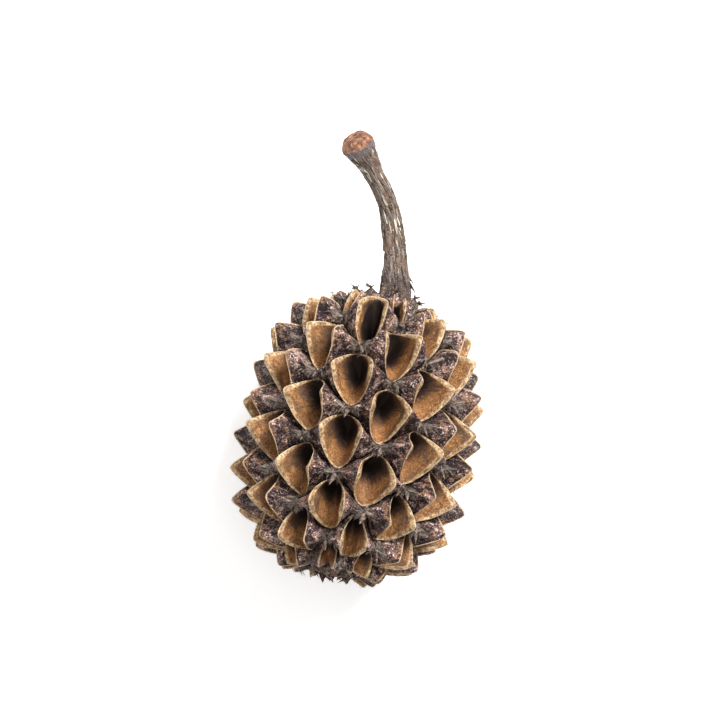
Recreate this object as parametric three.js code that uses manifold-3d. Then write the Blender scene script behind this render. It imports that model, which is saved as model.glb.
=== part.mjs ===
// A casuarina cone as picked, lying on its side: a barrel-shaped woody head of gaping two-valved seed cups,
// set in alternating whorls, and the bent stalk that it grew on.
// Millimetres, +Z up, +Y along the head towards its stalk, origin on the table under the middle of the part.

import * as THREE from "three";
import { mergeVertices } from "three/addons/utils/BufferGeometryUtils.js";
import Module from "manifold-3d";

const { degToRad } = THREE.MathUtils;

// The head between its cups: a barrel whose meridian is a superellipse.
const HEAD_HALF_LENGTH = 10.25;
const HEAD_HALF_WIDTH = 7.3;
const HEAD_SQUARENESS = 2.35;
const MERIDIAN_STEPS = 4000;

// The cups stand in whorls of eight, each whorl turned half a space from the next.
const COLUMNS = 16;
const COLUMN_STEP = (2 * Math.PI) / COLUMNS;
const FIRST_COLUMN_ANGLE = degToRad(-32.5);
const WHORLS = 10;
const FIRST_WHORL_ARC = 4.0;
const WHORL_PITCH = 2.42;
const STERILE_ROWS = 1;
const ROW_SHRINK = 0.55;
const ANGLE_WANDER = 0.012;
const ARC_WANDER = 0.06;
const SEED = 4.7;

// One cup: two woody valves that gape sideways round a deep pocket.
const FULL_CELL_WIDTH = 2.4;
const MOUTH_HALF_WIDTH = 0.53;
const MOUTH_WIDTH_VARIES = 0.12;
const MOUTH_TOP = 0.81;
const MOUTH_BOTTOM = 0.83;
const TIP_HEIGHT = 1.7;
const TIP_HEIGHT_VARIES = 0.1;
const TIP_SHIFT = 0.12;
const NOTCH_HEIGHT = 0.35;
const LIP_WIDTH = 0.38;
const LIP_EXTRA_AT_TIP = 0.42;
const LIP_SLOPE = degToRad(36);
const POCKET_DEPTH = 2.1;
const RIM_POINTS = 16;

// The dry bract tooth over each cup, and the web of wood between cups.
const BRACT_HEIGHT = 0.85;
const BRACT_HEIGHT_VARIES = 0.25;
const BRACT_LEAN = 0.24;
const BRACT_ROOT_SHARE = 0.13;
const WEB_HEIGHT = 0.12;
const WEB_CROWN = 0.4;
const STERILE_BUMP = 0.35;
const POLE_BUD = 0.5;

// The stalk's middle line from inside the head to its shed end, with its radius at each place.
const STALK_LINE = [
  [0.45, 8.9, 0],
  [0.6, 10.9, 0.05],
  [0.14, 13.45, 0.1],
  [-0.4, 15.5, 0.25],
  [-1.4, 17.8, 0.85],
  [-3.0, 19.75, 2.0],
  [-4.7, 21.5, 3.6],
];
const STALK_RADII = [0.8, 1.08, 0.9, 0.82, 0.76, 0.78, 1.28];
const STALK_SIDES = 14;
const STALK_STEPS = 28;
const BARK_RIDGES = 5;
const BARK_RELIEF = 0.06;
const END_DISH = 0.15;
const SOCKET_FOOT_RADIUS = 1.0;
const SOCKET_MOUTH_RADIUS = 1.6;
const SOCKET_FLOOR = 8.6;
const SOCKET_DEPTH = 3.2;
const SOCKET_OFFSET = 0.52;

// How the part comes to rest on its valve tips.
const REST_ROLL = degToRad(-9.2);
const REST_PITCH = degToRad(-2.8);
const REST_FLAT = 0.3;

const HEAD_WOOD = { color: 0x5d4436, roughness: 0.8, metalness: 0 };
const STALK_BARK = { color: 0x75685f, roughness: 0.9, metalness: 0 };

const wasm = await Module();
wasm.setup();

// A repeatable draw from -1 to 1 for one place on the head and one feature of it.
function vary(row, column, feature) {
  const spin = (column + COLUMNS) % COLUMNS;
  const x = Math.sin(row * 12.9898 + spin * 78.233 + feature * 37.719 + SEED) * 43758.5453;
  return 2 * (x - Math.floor(x)) - 1;
}

// The meridian from the stalk pole to the tip pole, with its arc length at each step.
function makeMeridian() {
  const steps = [];
  let arc = 0;
  for (let i = 0; i <= MERIDIAN_STEPS; i++) {
    const turn = (Math.PI * i) / MERIDIAN_STEPS;
    const radius = HEAD_HALF_WIDTH * Math.abs(Math.sin(turn)) ** (2 / HEAD_SQUARENESS);
    const level = Math.sign(Math.cos(turn)) * Math.abs(Math.cos(turn)) ** (2 / HEAD_SQUARENESS);
    const along = HEAD_HALF_LENGTH * level;
    const last = steps[i - 1];
    arc += last ? Math.hypot(radius - last.radius, along - last.along) : 0;
    steps.push({ arc, radius, along });
  }
  return steps;
}

const MERIDIAN = makeMeridian();
const MERIDIAN_LENGTH = MERIDIAN[MERIDIAN_STEPS].arc;

// Radius, height along the axis and outward normal of the bare head at one arc length from the stalk pole.
function meridianAt(arc) {
  let low = 0;
  let high = MERIDIAN_STEPS;
  while (high - low > 1) {
    const middle = (low + high) >> 1;
    if (MERIDIAN[middle].arc > arc) high = middle;
    else low = middle;
  }
  const from = MERIDIAN[low];
  const to = MERIDIAN[high];
  const share = (arc - from.arc) / (to.arc - from.arc);
  const radius = from.radius + share * (to.radius - from.radius);
  const along = from.along + share * (to.along - from.along);
  const power = HEAD_SQUARENESS - 1;
  const outward = radius ** power / HEAD_HALF_WIDTH ** HEAD_SQUARENESS;
  const endward = (Math.sign(along) * Math.abs(along) ** power) / HEAD_HALF_LENGTH ** HEAD_SQUARENESS;
  const length = Math.hypot(outward, endward);
  return { radius, along, outward: outward / length, endward: endward / length };
}

// A point at an angle round the head, an arc length from its stalk pole and a height over the bare head.
function headPoint(angle, arc, height) {
  const { radius, along, outward, endward } = meridianAt(arc);
  const reach = radius + height * outward;
  return new THREE.Vector3(reach * Math.sin(angle), along + height * endward, reach * Math.cos(angle));
}

// Rows past the first and last whorl close up towards the poles.
function rowArc(row) {
  const lastWhorl = FIRST_WHORL_ARC + (WHORLS - 1) * WHORL_PITCH;
  if (row < 0) return FIRST_WHORL_ARC * ROW_SHRINK ** -row;
  if (row < WHORLS) return FIRST_WHORL_ARC + row * WHORL_PITCH;
  return MERIDIAN_LENGTH - (MERIDIAN_LENGTH - lastWhorl) * ROW_SHRINK ** (row - WHORLS + 1);
}

// Angle and arc length of a lattice place, a little off true as on a grown cone.
function latticePlace(row, column) {
  return {
    angle: FIRST_COLUMN_ANGLE + column * COLUMN_STEP + ANGLE_WANDER * vary(row, column, 1),
    arc: rowArc(row) + ARC_WANDER * vary(row, column, 2),
  };
}

// The bract tooth at a corner where four cups meet, leaning over the cup on its tip side.
function bractPoint(row, column) {
  const { angle, arc } = latticePlace(row, column);
  const size = Math.min(1, meridianAt(arc).radius / 3);
  const height = BRACT_HEIGHT * size * (1 + BRACT_HEIGHT_VARIES * vary(row, column, 3));
  return headPoint(angle, arc + BRACT_LEAN * size, height);
}

// A point on the web between two corners, a share of the way from one to the other.
function webPoint(from, to, share) {
  const a = latticePlace(...from);
  const b = latticePlace(...to);
  const angle = a.angle + share * (b.angle - a.angle);
  const arc = a.arc + share * (b.arc - a.arc);
  const size = Math.min(1, meridianAt(arc).radius / 3);
  return headPoint(angle, arc, (WEB_HEIGHT + WEB_CROWN * Math.sin(Math.PI * share)) * size);
}

// The sixteen points round a diamond cell, from its right corner anticlockwise as seen from outside.
function cellEdge(row, column) {
  const corners = [
    [row, column + 1],
    [row - 1, column],
    [row, column - 1],
    [row + 1, column],
  ];
  const shares = [BRACT_ROOT_SHARE, 0.5, 1 - BRACT_ROOT_SHARE];
  return corners.flatMap((corner, i) => {
    const next = corners[(i + 1) % 4];
    return [bractPoint(...corner), ...shares.map((share) => webPoint(corner, next, share))];
  });
}

// The sizes of one cup, which shrink with its cell towards both ends of the head.
function cupSizes(row, column) {
  const place = latticePlace(row, column);
  const radius = meridianAt(place.arc).radius;
  const cellWidth = radius * COLUMN_STEP;
  const full = Math.min(1, cellWidth / FULL_CELL_WIDTH);
  return {
    ...place,
    radius,
    full,
    width: MOUTH_HALF_WIDTH * cellWidth * (1 + MOUTH_WIDTH_VARIES * vary(row, column, 4)),
    top: MOUTH_TOP * (rowArc(row) - rowArc(row - 1)),
    bottom: MOUTH_BOTTOM * (rowArc(row + 1) - rowArc(row)),
    tipShift: TIP_SHIFT * (1 + vary(row, column, 5)),
    rightTip: TIP_HEIGHT * (0.3 + 0.7 * full) * (1 + TIP_HEIGHT_VARIES * vary(row, column, 6)),
    leftTip: TIP_HEIGHT * (0.3 + 0.7 * full) * (1 + TIP_HEIGHT_VARIES * vary(row, column, 7)),
  };
}

function cupPoint(cup, side, up, height) {
  return headPoint(cup.angle + side / cup.radius, cup.arc - up, height);
}

// The outer edge of the two valves: a blunt point on each side, and a notch where they meet above and below.
function rimPoint(cup, turn) {
  const across = Math.cos(turn);
  const along = Math.sin(turn);
  const reach = Math.abs(along);
  const tip = across > 0 ? cup.rightTip : cup.leftTip;
  const notch = NOTCH_HEIGHT * cup.full;
  return {
    side: Math.sign(across) * cup.width * Math.max(0, 1 - reach ** 1.5) ** 0.6,
    up: along * (along > 0 ? cup.top : cup.bottom) + cup.tipShift * (1 - reach),
    height: notch + (tip - notch) * (1 - reach) ** 1.15,
    lip: (LIP_WIDTH + LIP_EXTRA_AT_TIP * Math.abs(across) ** 3) * cup.full,
  };
}

// The triangles between two rings of equal count, the second inside the first.
function bridge(triangles, outer, inner) {
  outer.forEach((corner, i) => {
    const next = (i + 1) % outer.length;
    triangles.push(corner, outer[next], inner[next]);
    triangles.push(corner, inner[next], inner[i]);
  });
}

// The triangles between a ring and one with half as many points inside it.
function bridgeToHalf(triangles, outer, inner) {
  inner.forEach((corner, i) => {
    const next = inner[(i + 1) % inner.length];
    const middle = outer[2 * i + 1];
    triangles.push(outer[2 * i], middle, corner);
    triangles.push(middle, next, corner);
    triangles.push(middle, outer[(2 * i + 2) % outer.length], next);
  });
}

function fan(triangles, ring, middle) {
  ring.forEach((corner, i) => triangles.push(corner, ring[(i + 1) % ring.length], middle));
}

// One cell with its cup: web, valve backs, lips, pocket wall and pocket floor.
function addCup(triangles, row, column) {
  const cup = cupSizes(row, column);
  const turns = Array.from({ length: RIM_POINTS }, (_, i) => (2 * Math.PI * i) / RIM_POINTS);
  const rim = turns.map((turn) => rimPoint(cup, turn));
  const outerLip = rim.map((p) => cupPoint(cup, p.side, p.up, p.height));
  const innerLip = rim.map((p) => {
    const inward = 1 - (p.lip * Math.sin(LIP_SLOPE)) / Math.hypot(p.side, p.up);
    return cupPoint(cup, p.side * inward, p.up * inward, p.height - p.lip * Math.cos(LIP_SLOPE));
  });
  const depth = POCKET_DEPTH * cup.full;
  const wall = rim
    .filter((_, i) => i % 2 === 0)
    .map((p) => cupPoint(cup, 0.68 * p.side, 0.72 * p.up, -0.38 * depth));
  bridge(triangles, cellEdge(row, column), outerLip);
  bridge(triangles, outerLip, innerLip);
  bridgeToHalf(triangles, innerLip, wall);
  fan(triangles, wall, cupPoint(cup, 0, 0, -depth));
}

// A barren cell next to a pole: a low bump between its bract teeth.
function addBarrenCell(triangles, row, column) {
  const { angle, arc } = latticePlace(row, column);
  fan(triangles, cellEdge(row, column), headPoint(angle, arc, STERILE_BUMP));
}

// The cap at the stalk pole or, with tipEnd, at the other: a fan from the zigzag of cell edges round it.
function addCap(triangles, row, tipEnd) {
  const loop = [];
  for (let i = 0; i < COLUMNS / 2; i++) {
    const column = 2 * i + (Math.abs(row) % 2);
    const edge = cellEdge(row, tipEnd ? COLUMNS - column : column);
    const from = tipEnd ? RIM_POINTS : RIM_POINTS / 2;
    for (let k = 0; k < RIM_POINTS / 2; k++) loop.push(edge[(from - k) % RIM_POINTS]);
  }
  const bud = tipEnd ? headPoint(0, MERIDIAN_LENGTH, POLE_BUD) : headPoint(0, 0, 0);
  fan(triangles, loop, bud);
}

// A closed geometry with shared corners from a list of triangle corners.
function closedGeometry(triangles) {
  const positions = new Float32Array(triangles.flatMap((p) => [p.x, p.y, p.z]));
  const geometry = new THREE.BufferGeometry();
  geometry.setAttribute("position", new THREE.BufferAttribute(positions, 3));
  return mergeVertices(geometry, 1e-4);
}

function grownHead() {
  const triangles = [];
  const firstRow = -STERILE_ROWS;
  const lastRow = WHORLS - 1 + STERILE_ROWS;
  for (let row = firstRow; row <= lastRow; row++)
    for (let column = Math.abs(row) % 2; column < COLUMNS; column += 2)
      if (row < 0 || row >= WHORLS) addBarrenCell(triangles, row, column);
      else addCup(triangles, row, column);
  addCap(triangles, firstRow, false);
  addCap(triangles, lastRow, true);
  return closedGeometry(triangles);
}

// The stalk: rings of bark ridges along its middle line, closed by its foot and by the dished shed end.
function grownStalk() {
  const line = new THREE.CatmullRomCurve3(STALK_LINE.map((p) => new THREE.Vector3(...p)));
  const radii = new THREE.SplineCurve(
    STALK_RADII.map((radius, i) => new THREE.Vector2(i / (STALK_RADII.length - 1), radius)),
  );
  const rings = [];
  let side = new THREE.Vector3(1, 0, 0);
  for (let i = 0; i <= STALK_STEPS; i++) {
    const share = i / STALK_STEPS;
    const middle = line.getPoint(share);
    const along = line.getTangent(share);
    side = side.addScaledVector(along, -side.dot(along)).normalize();
    const up = new THREE.Vector3().crossVectors(along, side);
    const radius = radii.getPoint(share).y;
    const ring = Array.from({ length: STALK_SIDES }, (_, k) => {
      const turn = (2 * Math.PI * k) / STALK_SIDES;
      const ridge = BARK_RELIEF * Math.sin(BARK_RIDGES * turn + 9 * share) * Math.sin(Math.PI * share);
      const reach = radius + ridge;
      return middle
        .clone()
        .addScaledVector(side, reach * Math.cos(turn))
        .addScaledVector(up, reach * Math.sin(turn));
    });
    rings.push({ middle, along, ring });
  }
  const triangles = [];
  const foot = rings[0];
  const end = rings[STALK_STEPS];
  for (let i = 0; i < STALK_STEPS; i++) bridge(triangles, rings[i].ring, rings[i + 1].ring);
  fan(triangles, [...foot.ring].reverse(), foot.middle);
  fan(triangles, end.ring, end.middle.clone().addScaledVector(end.along, -END_DISH));
  return closedGeometry(triangles);
}

function toSolid(geometry) {
  geometry.deleteAttribute("normal");
  geometry.deleteAttribute("uv");
  const merged = mergeVertices(geometry);
  return new wasm.Manifold(
    new wasm.Mesh({
      numProp: 3,
      vertProperties: new Float32Array(merged.attributes.position.array),
      triVerts: new Uint32Array(merged.index.array),
    }),
  );
}

function toGeometry(solid) {
  const mesh = solid.getMesh();
  const geometry = new THREE.BufferGeometry();
  geometry.setAttribute("position", new THREE.BufferAttribute(mesh.vertProperties, 3));
  geometry.setIndex(new THREE.BufferAttribute(mesh.triVerts, 1));
  return geometry;
}

// The head with the round socket that its stalk stands in.
const socket = new THREE.CylinderGeometry(SOCKET_MOUTH_RADIUS, SOCKET_FOOT_RADIUS, SOCKET_DEPTH, STALK_SIDES);
socket.translate(SOCKET_OFFSET, SOCKET_FLOOR + SOCKET_DEPTH / 2, 0);
const socketed = toGeometry(toSolid(grownHead()).subtract(toSolid(socket)));

// Turned to where it lies still, with the lowest valve tips worn to small flats on the table.
const rest = new THREE.Matrix4()
  .makeRotationX(REST_PITCH)
  .multiply(new THREE.Matrix4().makeRotationY(REST_ROLL));
socketed.applyMatrix4(rest);
socketed.computeBoundingBox();
const table = socketed.boundingBox.min.z + REST_FLAT;
const overTable = new THREE.BoxGeometry(60, 60, 40).translate(0, 0, table + 20);
const headGeometry = toGeometry(toSolid(socketed).intersect(toSolid(overTable)));
const stalkGeometry = grownStalk().applyMatrix4(rest);

const head = new THREE.Mesh(headGeometry, new THREE.MeshStandardMaterial(HEAD_WOOD));
head.name = "cone_head";
const stalk = new THREE.Mesh(stalkGeometry, new THREE.MeshStandardMaterial(STALK_BARK));
stalk.name = "stalk";

const cone = new THREE.Group();
cone.add(head, stalk);
const box = new THREE.Box3().setFromObject(cone);
const middle = box.getCenter(new THREE.Vector3());
cone.position.set(-middle.x, -middle.y, -table);

export default cone;
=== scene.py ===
import math

import bmesh
import bpy
import numpy as np
from mathutils import Matrix, Vector


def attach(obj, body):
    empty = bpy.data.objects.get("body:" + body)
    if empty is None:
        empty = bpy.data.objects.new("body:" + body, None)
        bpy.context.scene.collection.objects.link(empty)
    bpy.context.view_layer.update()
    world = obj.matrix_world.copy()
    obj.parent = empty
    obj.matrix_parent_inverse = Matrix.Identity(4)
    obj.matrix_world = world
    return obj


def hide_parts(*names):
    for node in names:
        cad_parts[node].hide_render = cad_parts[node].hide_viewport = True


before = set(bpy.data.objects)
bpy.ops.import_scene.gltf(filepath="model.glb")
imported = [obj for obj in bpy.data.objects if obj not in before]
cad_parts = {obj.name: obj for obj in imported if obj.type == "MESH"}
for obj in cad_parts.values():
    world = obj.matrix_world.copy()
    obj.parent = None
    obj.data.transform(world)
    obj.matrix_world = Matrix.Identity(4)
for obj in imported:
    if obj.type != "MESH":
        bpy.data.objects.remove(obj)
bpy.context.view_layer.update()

# The woody head: an axis with the backs of eighty two-valved seed cups grown together round it, in ten
# alternating whorls of eight. It is one piece of dry, scaly, purple-brown wood, wrinkled and cracked
# where it shrank and peppered with pale resin grains. The cups' linings are set into it.
MM = 0.001
WELD_DISTANCE = 0.5e-6
HEAD_HALF_LENGTH = 10.25
HEAD_HALF_WIDTH = 7.3
HEAD_SQUARENESS = 2.35
MERIDIAN_STEPS = 4000
COLUMNS = 16
COLUMN_STEP = 2 * math.pi / COLUMNS
FIRST_COLUMN_ANGLE = math.radians(-32.5)
WHORLS = 10
FIRST_WHORL_ARC = 4.0
WHORL_PITCH = 2.42
ROW_SHRINK = 0.55
ANGLE_WANDER = 0.012
ARC_WANDER = 0.06
SEED = 4.7
REST_ROLL = math.radians(-9.2)
REST_PITCH = math.radians(-2.8)
HEAD_MIDDLE = (0.009238, -5.864745, 8.500059)

FULL_CELL_WIDTH = 2.4
MOUTH_HALF_WIDTH = 0.415
MOUTH_WIDTH_VARIES = 0.16
MOUTH_TWIST = 0.12
MOUTH_SIDE_SHIFT = 0.16
MOUTH_TOP = 0.81
MOUTH_BOTTOM = 0.83
TIP_HEIGHT = 1.85
TIP_HEIGHT_VARIES = 0.12
FIRST_WHORL_HEIGHT = 0.66
FIRST_WHORL_WIDTH = 0.58
FIRST_WHORL_VARIES = 0.42
ROOF_HEIGHT = 1.05
ROOF_DRAW = 0.6
TIP_SHIFT = 0.5
TIP_ROUNDING = 0.075
TOP_NOTCH_HEIGHT = -0.25
BOTTOM_NOTCH_HEIGHT = -0.45
LIP_WIDTH = 0.2
LIP_EXTRA_AT_TIP = 0.24
LIP_SLOPE = math.radians(35)
LIP_STEP = 0.02
POCKET_DEPTH = 2.5
POCKET_UP = 0.5
RIM_ROUGHNESS = 0.055
WEB_HEIGHT = -0.8
WEB_CROWN = 0.06
MOUND_HEIGHT = 1.15
FIRST_MOUNDS = 1.9
MOUND_REACH = 0.17
EDGE_WANDER = 0.15
EDGE_WANDER_SCALE = 1.1
FULL_CELL_RADIUS = 3
TIP_SHIFT_VARIES = 0.35
SMALLEST_CUP_HEIGHT = 0.3
MOUTH_POWER = 2.2
UPPER_FULLNESS = 0.6
LOWER_FULLNESS = 0.58
LIP_THINS_ABOVE = 0.75
LIP_THINS_BELOW = 0.4
ROOF_LIP_THICKENS = 0.6
LIP_CROWN = 0.12
LIP_STEP_REACH = 0.05
SHOULDER_DEPTH = 0.45
SHOULDER_DROP = 0.2
SHOULDER_SIDE = 0.86
SHOULDER_UP = 0.78
SHOULDER_LEAN = 0.4
GRAIN_RADIUS = 2.2

BACK_AROUND = 72
BACK_SHARES = np.array([0.0, 0.04, 0.1, 0.18, 0.28, 0.39, 0.5, 0.61, 0.72, 0.82, 0.9, 0.96, 1.0])
BACK_CROWN = 0.85
BACK_ROUGHNESS = 0.17
CRACK_DEPTH = 2.6
CRACK_GAPS = 0.6
GROOVE_DEPTH = 0.3
GROOVE_REACH = 0.06
GREY_FADE = 2.5
UNDER_LINING = 0.2
UNDER_SHARES = (0.0, 0.3, 0.7)
UNDER_SPREAD = (1.04, 1.03)
BARREN_HEIGHT = 0.35
BARREN_SHARES = (0, 0.25, 0.5, 0.75)
CAP_SHARES = (0, 0.35, 0.7)
BUD_HEIGHT = 0.5
PLAIN_REACH = 0.4
PLAIN_GREY = 0.2


def vary(row, column, feature):
    """A repeatable draw from -1 to 1: twice the fraction of a large sine of the place, less one."""
    spin = np.mod(column, COLUMNS)
    x = np.sin(row * 12.9898 + spin * 78.233 + feature * 37.719 + SEED) * 43758.5453
    return 2 * (x - np.floor(x)) - 1


def soft_noise(points, seed):
    """Value noise from -1 to 1: draws at whole-number corners, blended by smooth steps between them."""
    base = np.floor(points)
    part = points - base
    blend = part * part * (3 - 2 * part)
    total = np.zeros(points.shape[:-1])
    for corner in np.ndindex(2, 2, 2):
        at = base + np.array(corner)
        wave = np.sin(at[..., 0] * 127.1 + at[..., 1] * 311.7 + at[..., 2] * 74.7 + seed * 13.7)
        wave = wave * 43758.5453
        weight = np.prod(np.where(np.array(corner) == 1, blend, 1 - blend), axis=-1)
        total += weight * (2 * (wave - np.floor(wave)) - 1)
    return total


turns = np.pi * np.arange(MERIDIAN_STEPS + 1) / MERIDIAN_STEPS
power = 2 / HEAD_SQUARENESS
meridian_radius = HEAD_HALF_WIDTH * np.abs(np.sin(turns)) ** power
meridian_along = HEAD_HALF_LENGTH * np.sign(np.cos(turns)) * np.abs(np.cos(turns)) ** power
steps = np.hypot(np.diff(meridian_radius), np.diff(meridian_along))
meridian_arc = np.concatenate([[0], np.cumsum(steps)])
MERIDIAN_LENGTH = meridian_arc[-1]


def radius_at(arc):
    """Radius of the bare head at an arc length from its stalk pole, along the superellipse meridian."""
    return np.interp(arc, meridian_arc, meridian_radius)


def on_head(angle, arc, height):
    """The bare head's point at that angle and arc length, moved along its normal by height, in mm."""
    radius = radius_at(arc)
    along = np.interp(arc, meridian_arc, meridian_along)
    power = HEAD_SQUARENESS - 1
    outward = np.abs(radius) ** power / HEAD_HALF_WIDTH**HEAD_SQUARENESS
    endward = np.sign(along) * np.abs(along) ** power / HEAD_HALF_LENGTH**HEAD_SQUARENESS
    length = np.hypot(outward, endward)
    reach = radius + height * outward / length
    level = along + height * endward / length
    return np.stack([reach * np.sin(angle), level, reach * np.cos(angle)], axis=-1)


def at_rest(points):
    """Points of the head's frame in mm, rolled about Y, pitched about X and set where it lies, in m."""
    turn = Matrix.Rotation(REST_PITCH, 3, "X") @ Matrix.Rotation(REST_ROLL, 3, "Y")
    placed = points @ np.array(turn).T + np.array(HEAD_MIDDLE)
    placed[..., 2] = np.maximum(placed[..., 2], 0)
    return placed * MM


def row_arc(row):
    """Arc length of a lattice row: evenly spaced over the whorls, then closing up to either pole."""
    row = np.asarray(row, float)
    last = FIRST_WHORL_ARC + (WHORLS - 1) * WHORL_PITCH
    inside = FIRST_WHORL_ARC + row * WHORL_PITCH
    before = FIRST_WHORL_ARC * ROW_SHRINK ** np.maximum(-row, 0)
    closed = ROW_SHRINK ** np.maximum(row - WHORLS + 1, 0)
    after = MERIDIAN_LENGTH - (MERIDIAN_LENGTH - last) * closed
    return np.where(row < 0, before, np.where(row < WHORLS, inside, after))


def lattice_place(row, column):
    """Angle and arc length of a lattice place, each a little off true."""
    angle = FIRST_COLUMN_ANGLE + column * COLUMN_STEP + ANGLE_WANDER * vary(row, column, 1)
    return angle, row_arc(row) + ARC_WANDER * vary(row, column, 2)


def cell_edge(row, column, around):
    """Angle, arc and height round a diamond cell: straight between its corners and crowned midway,
    with a mound exp(-(share / MOUND_REACH) ** 2) at each corner, higher above the first whorl."""
    k = np.arange(around)
    quarter = k // (around // 4)
    share = (k % (around // 4)) / (around // 4)
    corner_rows = np.array([0, -1, 0, 1, 0])
    corner_columns = np.array([1, 0, -1, 0, 1])
    angle_a, arc_a = lattice_place(row + corner_rows[quarter], column + corner_columns[quarter])
    angle_b, arc_b = lattice_place(row + corner_rows[quarter + 1], column + corner_columns[quarter + 1])
    angle = angle_a + share * (angle_b - angle_a)
    arc = arc_a + share * (arc_b - arc_a)
    size = np.minimum(1, radius_at(arc) / FULL_CELL_RADIUS)
    place = EDGE_WANDER_SCALE * on_head(angle, arc, 0)
    arc = arc + EDGE_WANDER * size * soft_noise(place, 21)
    angle = angle + EDGE_WANDER * size * soft_noise(place, 22) / np.maximum(1, radius_at(arc))
    first = np.exp(-((share / MOUND_REACH) ** 2)) + 0 * angle
    second = np.exp(-(((1 - share) / MOUND_REACH) ** 2)) + 0 * angle
    near = first + second
    raised_a = np.where(row + corner_rows[quarter] < 0, FIRST_MOUNDS, 1)
    raised_b = np.where(row + corner_rows[quarter + 1] < 0, FIRST_MOUNDS, 1)
    mounds = MOUND_HEIGHT * (first * raised_a + second * raised_b)
    crown = WEB_CROWN * np.sin(np.pi * share)
    return angle, arc, (WEB_HEIGHT + crown + mounds) * size, near


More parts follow.
